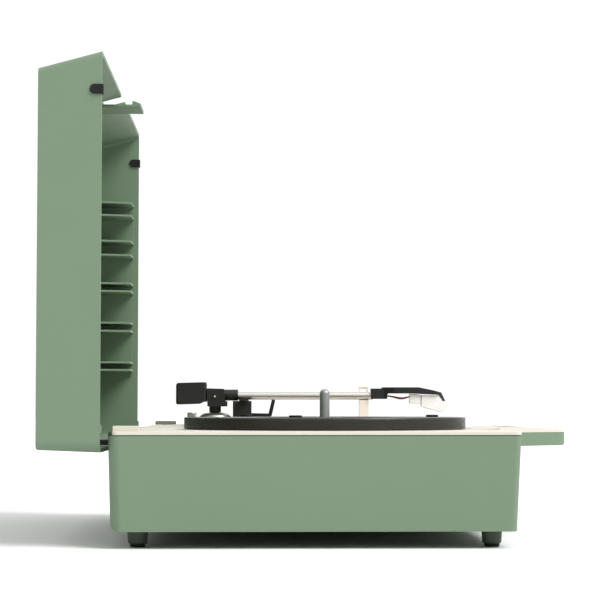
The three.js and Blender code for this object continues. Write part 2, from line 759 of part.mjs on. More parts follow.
// The cue lever is pinned to the outer side of the lift, and ends in an upright finger tab.
const lever = placed(group, 0, ahead(LEVER_PIVOT.ahead), LEVER_PIVOT.z);
const leverSide = rounded(
  [[3, -1.6], [3, 1.6], [-19.9, 1.1], [-22.6, 12.5], [-25.4, 12.0], [-22.4, -1.3]],
  [1.4, 1.4, 0, 0.8, 0.8, 1],
  3,
);
const leverBody = joined(rodX(1.5, 109, 115.8), prismX(leverSide, 113.3, 115.8));
add(lever, "cue_lever", leverBody, look.black);

// ---------------------------------------------------------------- tonearm

// The yoke turns on the stand and carries the arm between its two cheeks.
const yoke = placed(group, ARM_X, ahead(ARM_AHEAD));
const CHEEK = { inner: 7.9, outer: 10.3, front: -8.1, rear: 6.6, foot: 5.9, low: 92 };
const LUG = { front: -9.7, high: 96.0 };
// Its rear face leans, so that the counterweight clears it when the arm tips up.
const cheekSide = rounded(
  [
    [CHEEK.foot, CHEEK.low], [LUG.front, CHEEK.low], [LUG.front, LUG.high], [CHEEK.front, LUG.high],
    [CHEEK.front + 0.7, 105.7], [CHEEK.rear, 106.1],
  ],
  [0, 0.5, 0.5, 0, 1, 1],
  3,
);
const yokeFloor = [
  [CHEEK.foot, CHEEK.low - 0.3], [LUG.front, CHEEK.low - 0.3], [LUG.front, 93.6], [CHEEK.foot, 93.6],
];
const yokeBody = joined(
  rod(3.3, 70, 90, 20),
  rod(4.75, 87.0, 92.5, 24),
  prismX(yokeFloor, -CHEEK.outer, CHEEK.outer),
  prismX(cheekSide, -CHEEK.outer, -CHEEK.inner),
  prismX(cheekSide, CHEEK.inner, CHEEK.outer),
);
const screwHole = rodX(1.32, -20, 20, 14).translate(0, 0, ARM_PIVOT_Z);
add(yoke, "arm_yoke", cut(yokeBody, screwHole), look.black);
for (const [side, sign] of Object.entries(SIDES)) {
  const body = joined(
    rodX(1.25, 5.6, CHEEK.outer + 0.6, 14),
    rodX(2.1, CHEEK.outer + 0.1, CHEEK.outer + 1.1, 16),
  );
  const screw = placed(yoke, 0, 0, ARM_PIVOT_Z);
  screw.rotation.z = sign > 0 ? 0 : PI;
  add(screw, `pivot_screw_${side}`, body, look.steel);
}

// Everything that tips with the arm, drawn from the pivot: forward is -Y.
const arm = placed(yoke, 0, 0, ARM_PIVOT_Z);
const TUBE_UP = TUBE_Z - ARM_PIVOT_Z;
// A tapered cradle carries the tube in front of the collar.
const cradle = [[-17.8, 0.2], [-28.5, -1.8], [-28.5, -2.4], [-17.8, -2.6]];
const pivotBlock = cut(
  joined(
    prismX(rounded([[6.2, -4.8], [-7.2, -4.8], [-7.2, 5.6], [6.2, 5.6]], 1, 3), -7.5, 7.5),
    rodY(4.45, -18.3, -6, 24).translate(0, 0, TUBE_UP + 0.6),
    rodY(3.4, 5, 14, 20).translate(0, 0, TUBE_UP),
    prismX(cradle, -3.6, 3.6),
  ),
  ...[-1, 1].map((s) => rodX(1.36, s < 0 ? -9 : 5.4, s < 0 ? -5.4 : 9, 14)),
  rodY(TUBE_RADIUS + 0.05, -30, -8, 24).translate(0, 0, TUBE_UP),
);
add(arm, "arm_pivot_block", pivotBlock, look.black);

const COUNTER = { rear: 30.9, front: 6.75, half: 11, low: -5.9, high: 11.0, tilt: 0.6 };
const CHIN = { low: -4.3, flat: 2.2, end: 5.6 }; // the step under its front edge
const counter = solid(prismX(
  rounded(
    [
      [COUNTER.front, CHIN.low], [COUNTER.front, COUNTER.high + COUNTER.tilt / 2],
      [COUNTER.rear, COUNTER.high - COUNTER.tilt / 2], [COUNTER.rear, COUNTER.low - COUNTER.tilt],
      [COUNTER.front + CHIN.end, COUNTER.low], [COUNTER.front + CHIN.flat, CHIN.low],
    ],
    [0.6, 1.2, 2.2, 1.6, 1, 0.6],
    3,
  ),
  -COUNTER.half,
  COUNTER.half,
)).intersect(solid(prismZ(
  rounded(rectangle(-COUNTER.half, COUNTER.half, COUNTER.front, COUNTER.rear), 2, 3),
  -20,
  20,
)));
add(
  arm,
  "counterweight",
  cut(counter, rodY(3.55, 0, 14.6, 20).translate(0, 0, TUBE_UP)),
  look.black,
);

const HEAD_AHEAD = 0.8; // how far the head is set ahead of its own drawn place
const TUBE_FRONT = 125.5 + HEAD_AHEAD;
add(arm, "arm_tube", rodY(TUBE_RADIUS, -TUBE_FRONT, -8.2, 24).translate(0, 0, TUBE_UP), look.silver);

const head = placed(arm, 0, -HEAD_AHEAD, 0);

// Distances ahead of the pivot, and heights above it.
const shellSide = [
  [123.7, 6.3], [132.1, 6.3], [132.8, 7.3], [161.5, 7.3], [172, 5.2], [179.8, 3.2], [183.2, -3.6],
  [182, -3.9], [178.6, 1.0], [177.2, 1.4], [166, 1.9], [158, 2.4], [137.4, 2.4], [136.6, 1.0],
  [136.6, -2.0], [123.7, -2.0],
].map(([n, z]) => [-n, z]);
const SHELL_HALF = 8;
const shellPlan = rounded(
  [[-5, -123], [-5, -134], [-SHELL_HALF, -142], [-SHELL_HALF, -176], [-4, -184], [4, -184],
    [SHELL_HALF, -176], [SHELL_HALF, -142], [5, -134], [5, -123]],
  [0, 2, 3, 3, 2, 2, 3, 3, 2, 0],
  3,
);
const headshell = cut(
  solid(prismX(shellSide, -SHELL_HALF, SHELL_HALF)).intersect(solid(prismZ(shellPlan, -20, 20))),
  rodY(TUBE_RADIUS + 0.05, HEAD_AHEAD - TUBE_FRONT - 0.3, -100, 24).translate(0, 0, TUBE_UP),
);
add(head, "headshell", headshell, look.black);

const cartridgeSide = [[154.6, 2.1], [154.6, -5.4], [163.6, -6.2], [163.6, 1.2], [160, 1.9]]
  .map(([n, z]) => [-n, z]);
add(head, "cartridge", prismX(cartridgeSide, -5.5, 5.5), look.white);

const guardSide = rounded(
  [[163.9, 1.1], [163.9, -8.2], [180, -12.5], [184.2, -8.6], [184.2, -4.9], [180.8, -4.6], [177.0, 0.8]]
    .map(([n, z]) => [-n, z]),
  [0, 1, 1.5, 1.5, 0.6, 0.8, 0],
  3,
);
const guard = cut(
  solid(prismX(guardSide, -6, 6)),
  prismX([[-165.5, -3], [-165.5, -20], [-181.8, -20], [-181.8, -6.5], [-176, -3]], -4.9, 4.9),
);
add(head, "stylus_guard", guard, look.white);

const stylusSide = [
  [165.7, -3.9], [165.7, -5.6], [178, -9.4], [179.2, -11.9], [179.8, -11.9], [179.4, -8.4], [178.6, -7.6],
].map(([n, z]) => [-n, z]);
add(head, "stylus", prismX(stylusSide, -0.7, 0.7), look.steel);

// Two lead wires sag between the headshell's collar and the cartridge.
class LeadWire extends THREE.Curve {
  constructor(x, sag) {
    super();
    this.x = x;
    this.sag = sag;
  }

  getPoint(t, target = new THREE.Vector3()) {
    const n = 137.0 + 17.2 * t;
    const fall = this.sag * Math.sin(PI * t) - 0.35 * this.sag * Math.sin(2 * PI * t);
    return target.set(this.x, -n, 0.4 - 0.7 * t - fall);
  }
}
const wireSection = new THREE.Shape(circle(0, 0, 0.62, 8).map(([x, y]) => new THREE.Vector2(x, y)));
const leadWires = [["wire_red", -2.6, 1.0, look.red], ["wire_dark", 2.2, 1.5, look.rubber]];
for (const [name, x, sag, material] of leadWires) {
  const geometry = new THREE.ExtrudeGeometry(wireSection, {
    steps: 8,
    bevelEnabled: false,
    extrudePath: new LeadWire(x, sag),
  });
  add(head, name, geometry, material);
}

// ---------------------------------------------------------------- lid

// Drawn shut about the hinge axis, then swung open by a right angle.
const lid = placed(group, 0, ahead(HINGE_INSET), HINGE_Z);
lid.rotation.x = -PI / 2;
const lidAhead = (n) => HINGE_INSET - n; // distance ahead of the case's rear plane, lid shut

const OVERHANG = 0.05; // keeps the plan's ends just outside the side view's

function lidBlock(inset) {
  const rearTop = RIM_LIFT + LID_DEPTH.rear - inset;
  const frontTop = RIM_LIFT + LID_DEPTH.front - inset;
  const low = inset ? RIM_LIFT - 1 : RIM_LIFT;
  const lean = LID_FRONT_LEAN / LID_DEPTH.front;
  const side = rounded(
    [
      [lidAhead(inset), low],
      [lidAhead(inset + LID_REAR_LEAN), rearTop],
      [lidAhead(LID_LENGTH - inset - lean * (frontTop - RIM_LIFT)), frontTop],
      [lidAhead(LID_LENGTH - inset - lean * (low - RIM_LIFT)), low],
    ],
    [0, 1.4, 1.2, 0],
    5,
  );
  const w = HALF_WIDTH - inset;
  const plan = prismZ(
    rounded(
      rectangle(-w, w, lidAhead(LID_LENGTH - inset), lidAhead(inset)),
      [CORNER.front - inset / 2, CORNER.front - inset / 2, CORNER.rear - inset / 2, CORNER.rear - inset / 2],
      5,
    ),
    low - 0.5,
    rearTop + 1,
  );
  shaped(plan, (point) => {
    const up = point.z - RIM_LIFT;
    point.x *= 1 - (LID_SIDE_LEAN * up) / (LID_DEPTH.rear * HALF_WIDTH);
    if (point.y < lidAhead(LID_LENGTH / 2)) point.y += lean * up - OVERHANG;
    else point.y += OVERHANG;
  });
  return solid(prismX(side, -HALF_WIDTH - 1, HALF_WIDTH + 1)).intersect(solid(plan));
}

const NOTCH = { half: 17.5, deep: 14.6 };
const STOP = { rear: 12.4, front: 18.2, high: 1.0, half: 1.1 }; // small stops on the rim beside the hinges
let lidShell = lidBlock(0).subtract(lidBlock(WALL));
lidShell = cut(
  lidShell,
  box(
    -NOTCH.half,
    NOTCH.half,
    lidAhead(LID_LENGTH + 1),
    lidAhead(LID_LENGTH - 12),
    RIM_LIFT - 1,
    RIM_LIFT + NOTCH.deep,
  ),
);
for (const side of Object.values(SIDES)) {
  const x = side * (HALF_WIDTH - WALL / 2);
  lidShell = lidShell.add(solid(prismX(
    rounded(
      [
        [lidAhead(STOP.rear), RIM_LIFT + 0.5], [lidAhead(STOP.rear + 0.6), RIM_LIFT - STOP.high],
        [lidAhead(STOP.front - 0.6), RIM_LIFT - STOP.high], [lidAhead(STOP.front), RIM_LIFT + 0.5],
      ],
      0,
    ),
    x - STOP.half,
    x + STOP.half,
  )));
}
add(lid, "lid_shell", lidShell, look.green);

// Pairs of ribs inside each side wall, deeper towards the lid's top.
const RIB_PAIRS = [[59.8, 65.9], [91.8, 98.4], [124.5, 130.9], [154.3, 165.8], [187.1, 197.6]];
const RIB = { thick: 1.5, fromRim: 3.7, rimReach: 144, topReach: 134, plateOut: 175.5, plateIn: 174.1 };
const ribLow = RIM_LIFT + RIB.fromRim;
const ribTopAt = (n) => RIM_LIFT + LID_DEPTH.rear - WALL - 0.35
  - ((LID_DEPTH.rear - LID_DEPTH.front) * n) / LID_LENGTH;
for (const [side, sign] of Object.entries(SIDES)) {
  const ribs = RIB_PAIRS.flat().map((n) => {
    const high = ribTopAt(n + RIB.thick);
    const outline = rounded(
      [
        [RIB.plateIn + 0.5, ribLow], [RIB.rimReach, ribLow], [RIB.topReach, high], [RIB.plateIn + 0.5, high],
      ],
      [0, 1, 0, 0],
      4,
    ).map(([x, z]) => [sign * x, z]);
    const ends = [lidAhead(n + RIB.thick / 2), lidAhead(n - RIB.thick / 2)];
    return prismY(sign > 0 ? outline : outline.reverse(), ...ends);
  });
  const plate = box(
    ...across(sign, RIB.plateIn, RIB.plateOut),
    lidAhead(200),
    lidAhead(56),
    ribLow + 0.4,
    ribTopAt(201) - 0.4,
  );
  add(lid, `rib_rack_${side}`, joined(plate, ...ribs), look.green);
}

// The latch tongue hangs inside the front wall, with its hook below the rim.
const TONGUE = { half: 16, inner: 250.6, outer: 252.6, end: 14.3, hook: 2.5, catch: 8.0 };
const wallInner = (up) => LID_LENGTH - (LID_FRONT_LEAN / LID_DEPTH.front) * up - WALL - 0.5;
const tongueSide = [
  [TONGUE.inner, RIM_LIFT - TONGUE.end],
  [TONGUE.outer + 0.6, RIM_LIFT - TONGUE.end],
  [TONGUE.outer + TONGUE.hook, RIM_LIFT - TONGUE.catch - 1.6],
  [TONGUE.outer + TONGUE.hook, RIM_LIFT - TONGUE.catch],
  [TONGUE.outer, RIM_LIFT - TONGUE.catch],
  [TONGUE.outer, RIM_LIFT - 3.4],
  [TONGUE.outer + 1.0, RIM_LIFT - 2.4],
  [TONGUE.outer + 1.0, RIM_LIFT - 0.4],
  [TONGUE.outer, RIM_LIFT + 0.6],
  [TONGUE.outer, RIM_LIFT + 13.5],
  [wallInner(15.0), RIM_LIFT + 15.0],
  [wallInner(30), RIM_LIFT + 30],
  [wallInner(30) - 1.8, RIM_LIFT + 30],
  [TONGUE.inner, RIM_LIFT + 12.0],
].map(([n, z]) => [lidAhead(n), z]);
add(lid, "latch_tongue", prismX(tongueSide, -TONGUE.half, TONGUE.half), look.green);

// Rubber clips straddle the rim of each side wall near the front.
const RIM_CLIP = { at: 234.9, half: 3.2, long: 7.8, proud: 1.0, skin: 1.1, gap: 0.15 };
for (const [side, sign] of Object.entries(SIDES)) {
  const outline = rounded(
    [
      [lidAhead(RIM_CLIP.at - RIM_CLIP.half), RIM_LIFT - RIM_CLIP.proud],
      [lidAhead(RIM_CLIP.at - RIM_CLIP.half), RIM_LIFT + RIM_CLIP.long],
      [lidAhead(RIM_CLIP.at + RIM_CLIP.half), RIM_LIFT + RIM_CLIP.long],
      [lidAhead(RIM_CLIP.at + RIM_CLIP.half), RIM_LIFT - RIM_CLIP.proud],
    ],
    [0.5, 2.9, 2.9, 0.5],
    4,
  );
  const rubber = across(sign, HALF_WIDTH - WALL - RIM_CLIP.skin - 0.2, HALF_WIDTH + RIM_CLIP.skin);
  const body = cut(
    solid(prismX(outline, ...rubber)),
    box(
      ...across(sign, HALF_WIDTH - WALL - 0.35, HALF_WIDTH + RIM_CLIP.gap),
      lidAhead(RIM_CLIP.at + 20),
      lidAhead(RIM_CLIP.at - 20),
      RIM_LIFT - RIM_CLIP.gap,
      RIM_LIFT + 20,
    ),
  );
  add(lid, `rim_clip_${side}`, body, look.rubber);
}

// ---------------------------------------------------------------- hinges

const ARM_HALF = 8; // half width of a hinge arm
const KNUCKLE = 3.5;
const EAR = { inner: 10.2, outer: 11.7 };
const BRACKET_FACE = 3.7; // the bracket's face behind the rear wall
const armIn = HINGE_INSET - WALL - 1.15; // the arm's face against the lid's rear wall
for (const [side, sign] of Object.entries(SIDES)) {
  const hinge = placed(lid, sign * HINGE_X);
  const armBody = cut(
    joined(
      prismX(
        rounded(
          [[armIn - 3.5, -1], [armIn - 3.5, RIM_LIFT + 12], [armIn, RIM_LIFT + 12], [armIn, -1]],
          [0, 1, 0, 0],
          3,
        ),
        -ARM_HALF,
        ARM_HALF,
      ),
      rodX(KNUCKLE, -ARM_HALF, ARM_HALF, 24),
    ),
    rodX(PIN_HOLE, -20, 20, 20),
  );
  add(hinge, `hinge_arm_${side}`, armBody, look.black);

  const bracketAt = placed(group, sign * HINGE_X, ahead(0), HINGE_Z);
  const ears = [[-EAR.outer, -EAR.inner], [EAR.inner, EAR.outer]].flatMap(([x0, x1]) => [
    box(x0, x1, -9.5, -1.2, -4.6, 4.3),
    box(x0, x1, -9.5, -BRACKET_FACE, -14, -4.4),
  ]);
  const bracket = cut(
    joined(box(-EAR.outer, EAR.outer, -BRACKET_FACE - 1.5, -BRACKET_FACE, -14, -6.5), ...ears),
    rodX(PIN_HOLE, -20, 20, 20).translate(0, -HINGE_INSET, 0),
  );
  add(bracketAt, `hinge_bracket_${side}`, bracket, look.steel);
  const pin = joined(rodX(PIN_RADIUS, -12.6, 12.0, 20), rodX(2.4, 11.9, 12.9, 20));
  const pinAt = placed(bracketAt, 0, -HINGE_INSET, 0);
  add(pinAt, `hinge_pin_${side}`, pin, look.steel);
}

export default group;
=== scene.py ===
import json
import math

import bmesh
import bpy
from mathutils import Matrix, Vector


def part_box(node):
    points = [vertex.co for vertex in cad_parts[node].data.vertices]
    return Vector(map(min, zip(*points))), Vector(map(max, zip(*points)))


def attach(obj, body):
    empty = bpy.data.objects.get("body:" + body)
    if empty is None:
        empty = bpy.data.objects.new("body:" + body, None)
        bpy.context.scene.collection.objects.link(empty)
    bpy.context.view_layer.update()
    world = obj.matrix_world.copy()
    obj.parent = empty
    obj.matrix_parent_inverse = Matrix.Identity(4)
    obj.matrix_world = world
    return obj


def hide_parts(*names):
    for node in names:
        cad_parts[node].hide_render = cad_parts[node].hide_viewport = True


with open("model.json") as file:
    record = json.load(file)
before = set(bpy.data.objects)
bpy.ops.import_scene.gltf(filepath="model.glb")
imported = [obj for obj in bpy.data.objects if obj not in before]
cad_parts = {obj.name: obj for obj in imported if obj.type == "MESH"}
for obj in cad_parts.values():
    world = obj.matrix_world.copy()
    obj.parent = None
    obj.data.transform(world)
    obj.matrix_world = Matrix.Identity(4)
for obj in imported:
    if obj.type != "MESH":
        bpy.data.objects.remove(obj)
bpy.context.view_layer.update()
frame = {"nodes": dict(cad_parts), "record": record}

MM = 0.001
SLOT = {part["node"]: part["material_slot"] for part in frame["record"]["subparts"]}
BODY = {n: body for body, nodes in frame["record"]["behaviour"]["bodies"].items() for n in nodes}
SHARP = math.radians(40)
scene = bpy.context.scene


def low(node):
    """Lowest corner of a CAD node's box, in millimetres."""
    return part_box(node)[0] / MM


def high(node):
    """Highest corner of a CAD node's box, in millimetres."""
    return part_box(node)[1] / MM


def middle(node):
    return (low(node) + high(node)) / 2


# ---------------------------------------------------------------- materials


class Finish:
    """A principled material whose node tree is built up by small calls."""

    def __init__(self, name, roughness, metallic=0.0, ior=1.47):
        self.material = bpy.data.materials.new(name)
        self.material.use_nodes = True
        self.tree = self.material.node_tree
        self.tree.nodes.clear()
        self.shader = self.tree.nodes.new("ShaderNodeBsdfPrincipled")
        end = self.tree.nodes.new("ShaderNodeOutputMaterial")
        self.tree.links.new(self.shader.outputs[0], end.inputs[0])
        self.shader.inputs["Roughness"].default_value = roughness
        self.shader.inputs["Metallic"].default_value = metallic
        self.shader.inputs["IOR"].default_value = ior
        self.place = self.add("ShaderNodeTexCoord").outputs["Object"]

    def add(self, kind, inputs=None, **settings):
        node = self.tree.nodes.new(kind)
        for key, value in settings.items():
            setattr(node, key, value)
        for key, value in (inputs or {}).items():
            if isinstance(value, bpy.types.NodeSocket):
                self.tree.links.new(value, node.inputs[key])
            else:
                node.inputs[key].default_value = value
        return node

    def noise(self, scale, detail=3.0, vector=None):
        inputs = {"Vector": vector or self.place, "Scale": scale, "Detail": detail}
        return self.add("ShaderNodeTexNoise", inputs).outputs["Fac"]

    def stretched(self, factors):
        """Object coordinates scaled by a factor along each axis, for directional grain."""
        inputs = {0: self.place, 1: factors}
        return self.add("ShaderNodeVectorMath", inputs, operation="MULTIPLY").outputs[0]

    def remap(self, value, low_in, high_in, low_out, high_out):
        inputs = {0: value, 1: low_in, 2: high_in, 3: low_out, 4: high_out}
        return self.add("ShaderNodeMapRange", inputs).outputs[0]

    def maths(self, operation, a, b=0.0):
        return self.add("ShaderNodeMath", {0: a, 1: b}, operation=operation).outputs[0]

    def mix(self, factor, a, b, blend="MIX"):
        node = self.add("ShaderNodeMix", data_type="RGBA", blend_type=blend)
        for key, value in ((0, factor), (6, a), (7, b)):
            if isinstance(value, bpy.types.NodeSocket):
                self.tree.links.new(value, node.inputs[key])
            else:
                node.inputs[key].default_value = value
        return node.outputs[2]

    def edges(self, radius, amount):
        """1 along outer and inner edges, 0 on flats."""
        bent = self.add("ShaderNodeBevel", {"Radius": radius}, samples=4).outputs[0]
        flat = self.add("ShaderNodeNewGeometry").outputs["Normal"]
        dot = self.add("ShaderNodeVectorMath", {0: bent, 1: flat}, operation="DOT_PRODUCT").outputs["Value"]
        return self.remap(dot, 0.995, 0.86, 0.0, amount)

    def bump(self, height, distance, strength=1.0, under=None):
        inputs = {"Height": height, "Distance": distance, "Strength": strength}
        if under is not None:
            inputs["Normal"] = under
        return self.add("ShaderNodeBump", inputs).outputs[0]

    def set(self, **sockets):
        names = {"colour": "Base Color", "rough": "Roughness", "normal": "Normal"}
        for key, value in sockets.items():
            self.tree.links.new(value, self.shader.inputs[names[key]])
        return self.material


def linear(r, g, b):
    """A colour given in 0-255 sRGB, as linear RGBA."""
    def one(v):
        v /= 255
        return v / 12.92 if v <= 0.04045 else ((v + 0.055) / 1.055) ** 2.4
    return (one(r), one(g), one(b), 1.0)


def scaled(colour, factor):
    return tuple(min(1.0, c * factor) for c in colour[:3]) + (1.0,)


def moulded(
    name, colour, roughness, grain=0.45, relief=0.012, spread=0.05, edge_wear_and_light=0.25, lift=1.3, case=False,
):
    """Moulded plastic: a fine eroded grain, slow drifts of tone, uneven gloss, tinted edges (paler: partly
    wear, partly a painted highlight; darker: painted shade).
    The case has painted shade on its feet, and a painted shadow line where the deck meets its top edge."""
    f = Finish(name, roughness)
    drift = f.noise(14.0, 2.0)
    tone = f.mix(drift, scaled(colour, 1 - spread), scaled(colour, 1 + spread))
    speck = f.remap(f.noise(900.0, 1.0), 0.62, 0.75, 0.0, 0.10)
    tone = f.mix(speck, tone, scaled(colour, 0.86))
    # Edges tinted by lift: paler edges are partly wear and partly a painted highlight; darker edges are
    # painted shade.
    tone = f.mix(f.edges(0.7 * MM, edge_wear_and_light), tone, scaled(colour, lift))
    if case:
        # Painted shade: the case is darkened below the top of its feet, and a painted shadow line runs along
        # its top edge just under the deck.
        height = f.add("ShaderNodeSeparateXYZ", {0: f.place}).outputs["Z"]
        under = f.remap(height, FOOT_TOP * MM, (FOOT_TOP - 0.3) * MM, 0.0, 1.0)
        joint_shadow_mask = f.remap(height, (JOINT - 0.9) * MM, (JOINT - 0.5) * MM, 0.0, JOINT_SHADOW_STRENGTH)
        tone = f.mix(f.maths("MAXIMUM", under, joint_shadow_mask), tone, scaled(colour, PAINTED_SHADE_TONE))
    gloss = f.remap(f.noise(38.0, 4.0), 0.3, 0.7, roughness - 0.06, roughness + 0.07)
    height = f.noise(1 / (grain * MM), 2.0)
    return f.set(colour=tone, rough=gloss, normal=f.bump(height, relief * MM))


def rubber(name, colour, roughness=0.8):
    f = Finish(name, roughness, ior=1.4)
    tone = f.mix(f.noise(60.0, 3.0), scaled(colour, 0.8), scaled(colour, 1.35))
    dust = f.remap(f.noise(420.0, 4.0), 0.56, 0.74, 0.0, 0.22)
    tone = f.mix(dust, tone, scaled(colour, 3.2))
    gloss = f.remap(f.noise(150.0, 3.0), 0.3, 0.7, roughness - 0.1, roughness + 0.08)
    return f.set(colour=tone, rough=gloss, normal=f.bump(f.noise(2600.0, 2.0), 0.03 * MM))


def metal(name, colour, roughness, along=(1, 1, 1), depth=0.004, scale=1500.0, metallic=1.0):
    """Drawn or turned metal with fine lines square to the stretched axis."""
    f = Finish(name, roughness, metallic=metallic)
    lines = f.noise(scale, 2.0, f.stretched(along))
    tone = f.mix(lines, scaled(colour, 0.92), scaled(colour, 1.06))
    tone = f.mix(f.remap(f.noise(90.0, 3.0), 0.45, 0.8, 0.0, 0.25), tone, scaled(colour, 0.8))
    gloss = f.remap(lines, 0.2, 0.8, roughness - 0.07, roughness + 0.09)
    return f.set(colour=tone, rough=gloss, normal=f.bump(lines, depth * MM))


def ringed(name, colour, roughness, centre, pitch, depth):
    """Moulded plastic with fine turned rings about an upright axis."""
    f = Finish(name, roughness, ior=1.46)
    away = f.add("ShaderNodeVectorMath", {0: f.place, 1: centre}, operation="SUBTRACT").outputs[0]
    flat = f.add("ShaderNodeVectorMath", {0: away, 1: (1, 1, 0)}, operation="MULTIPLY").outputs[0]
    radius = f.add("ShaderNodeVectorMath", {0: flat}, operation="LENGTH").outputs["Value"]
    wobble = f.maths("MULTIPLY", f.noise(60.0, 2.0), 0.0004)
    wave = f.maths("SINE", f.maths("MULTIPLY", f.maths("ADD", radius, wobble), 2 * math.pi / (pitch * MM)))
    tone = f.mix(f.noise(20.0, 3.0), scaled(colour, 0.85), scaled(colour, 1.2))
    dust = f.remap(f.noise(700.0, 3.0), 0.6, 0.78, 0.0, 0.2)
    tone = f.mix(dust, tone, scaled(colour, 2.4))
    # Paler edges: partly wear, partly a painted highlight.
    tone = f.mix(f.edges(0.5 * MM, 0.3), tone, scaled(colour, 2.0))
    gloss = f.remap(f.noise(80.0, 3.0), 0.3, 0.7, roughness - 0.08, roughness + 0.08)
    rings = f.bump(wave, depth * MM)
    return f.set(colour=tone, rough=gloss, normal=f.bump(f.noise(1900.0, 2.0), 0.015 * MM, under=rings))


GREEN = linear(109, 130, 106)
PAINTED_SHADE_TONE = 0.26  # painted shade on the feet and under the deck, as a fraction of the case's colour
FOOT_TOP = 11.25
JOINT = 73.1  # height of the line between the case and the deck
# How strongly the painted shadow line under the deck darkens the case's top edge.
JOINT_SHADOW_STRENGTH = 0.75
platter_centre = middle("platter") * MM

finishes = {
    "green_plastic": moulded("green_plastic", GREEN, 0.5, spread=0.025),
    "green_case": moulded("green_case", GREEN, 0.5, spread=0.025, case=True),
    "cream_plastic": moulded("cream_plastic", linear(206, 200, 188), 0.46, spread=0.02, edge_wear_and_light=0.3, lift=1.12),
    "beige_plastic": moulded("beige_plastic", linear(242, 231, 219), 0.42, spread=0.02, edge_wear_and_light=0.2, lift=1.05),
    "charcoal_plastic": ringed("charcoal_plastic", linear(42, 42, 39), 0.34, platter_centre, 1.1, 0.02),
    "black_plastic": moulded("black_plastic", linear(27, 27, 26), 0.45, spread=0.15, edge_wear_and_light=0.3, lift=2.0),
    "black_steel": moulded(
        "black_steel", linear(30, 31, 30), 0.38, grain=0.25, relief=0.02, spread=0.1, edge_wear_and_light=0.4, lift=3.0,
    ),
    "black_rubber": rubber("black_rubber", linear(20, 20, 20)),
    "speaker_paper": rubber("speaker_paper", linear(46, 44, 42), 0.9),
    "bright_metal": metal("bright_metal", linear(226, 224, 220), 0.2, along=(1, 1, 6)),
    "steel": metal("steel", linear(158, 158, 156), 0.4, along=(1, 1, 8), metallic=0.55),
    "brass": metal("brass", linear(196, 160, 92), 0.3, along=(1, 1, 7)),
    "board_resin": moulded("board_resin", linear(32, 92, 58), 0.45, grain=1.6, relief=0.05, spread=0.2),
    "silver_metal": metal("silver_metal", linear(214, 211, 203), 0.36, along=(3, 0.3, 3), scale=1900.0),
    # The white plastic's edges are drawn darker: painted shade and reflection along them.
    "white_plastic": moulded(
        "white_plastic", linear(240, 239, 236), 0.3, grain=0.3, relief=0.006, spread=0.02, edge_wear_and_light=0.9, lift=0.5,
    ),
    "red_insulation": rubber("red_insulation", linear(136, 50, 46), 0.5),
    "dark_insulation": rubber("dark_insulation", linear(40, 28, 28), 0.5),
}


# ---------------------------------------------------------------- meshes


def made(name, bm):
    """A new object from a bmesh: smooth faces, with a hard line only where the shape has one."""
    bmesh.ops.recalc_face_normals(bm, faces=bm.faces[:])
    for face in bm.faces:
        face.smooth = True
    for edge in bm.edges:
        edge.smooth = not (edge.is_manifold and edge.calc_face_angle(0) > SHARP)
    mesh = bpy.data.meshes.new(name)
    bm.to_mesh(mesh)
    bm.free()
    obj = bpy.data.objects.new(name, mesh)
    scene.collection.objects.link(obj)
    weighted = obj.modifiers.new("even shading", "WEIGHTED_NORMAL")
    weighted.keep_sharp = True
    return obj


def stands_for(obj, *nodes, slot=None):
    """obj replaces these CAD nodes: it moves with their body and takes their finish."""
    slot = slot or SLOT[nodes[0]]
    obj.data.materials.clear()
    obj.data.materials.append(finishes[slot])
    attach(obj, BODY[nodes[0]])
    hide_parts(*nodes)
    return obj


def soften(bm, width, segments=3, picks=lambda edge: True):
    """Rounds the sharp edges that picks allows. width is in millimetres."""
    edges = [e for e in bm.edges if e.is_manifold and e.calc_face_angle(0) > SHARP and picks(e)]
    bmesh.ops.bevel(
        bm, geom=edges, offset=width * MM, segments=segments, profile=0.5, affect="EDGES", clamp_overlap=True,
    )


def from_cad(node):
    """The CAD node's solid as a clean bmesh with whole flat faces."""
    bm = bmesh.new()
    bm.from_mesh(frame["nodes"][node].data)
    bmesh.ops.remove_doubles(bm, verts=bm.verts[:], dist=0.002 * MM)
    bmesh.ops.dissolve_limit(bm, angle_limit=math.radians(0.2), verts=bm.verts[:], edges=bm.edges[:])
    return bm


def refined(node, width, segments=3, name=None):
    bm = from_cad(node)
    soften(bm, width, segments)
    return stands_for(made(name or f"{node}_shape", bm), node)


def rounded(corners, radii, steps=6, closed=True):
    """A polygon or open line whose corners are rounded, each by its own radius."""
    out = []
    count = len(corners)
    for i, corner in enumerate(corners):
        r = radii[i] if isinstance(radii, (list, tuple)) else radii
        if not r or (not closed and i in (0, count - 1)):
            out.append(tuple(corner))
            continue
        here = Vector(corner)
        a = (Vector(corners[i - 1]) - here).normalized()
        b = (Vector(corners[(i + 1) % count]) - here).normalized()
        half = math.acos(max(-1, min(1, a.dot(b)))) / 2
        centre = here + (a + b).normalized() * (r / math.sin(half))
        start = here + a * (r / math.tan(half)) - centre
        end = here + b * (r / math.tan(half)) - centre
        first = math.atan2(start.y, start.x)
        turn = (math.atan2(end.y, end.x) - first + math.pi) % (2 * math.pi) - math.pi
        for k in range(steps + 1):
            angle = first + turn * k / steps
            out.append((centre.x + r * math.cos(angle), centre.y + r * math.sin(angle)))
    return out


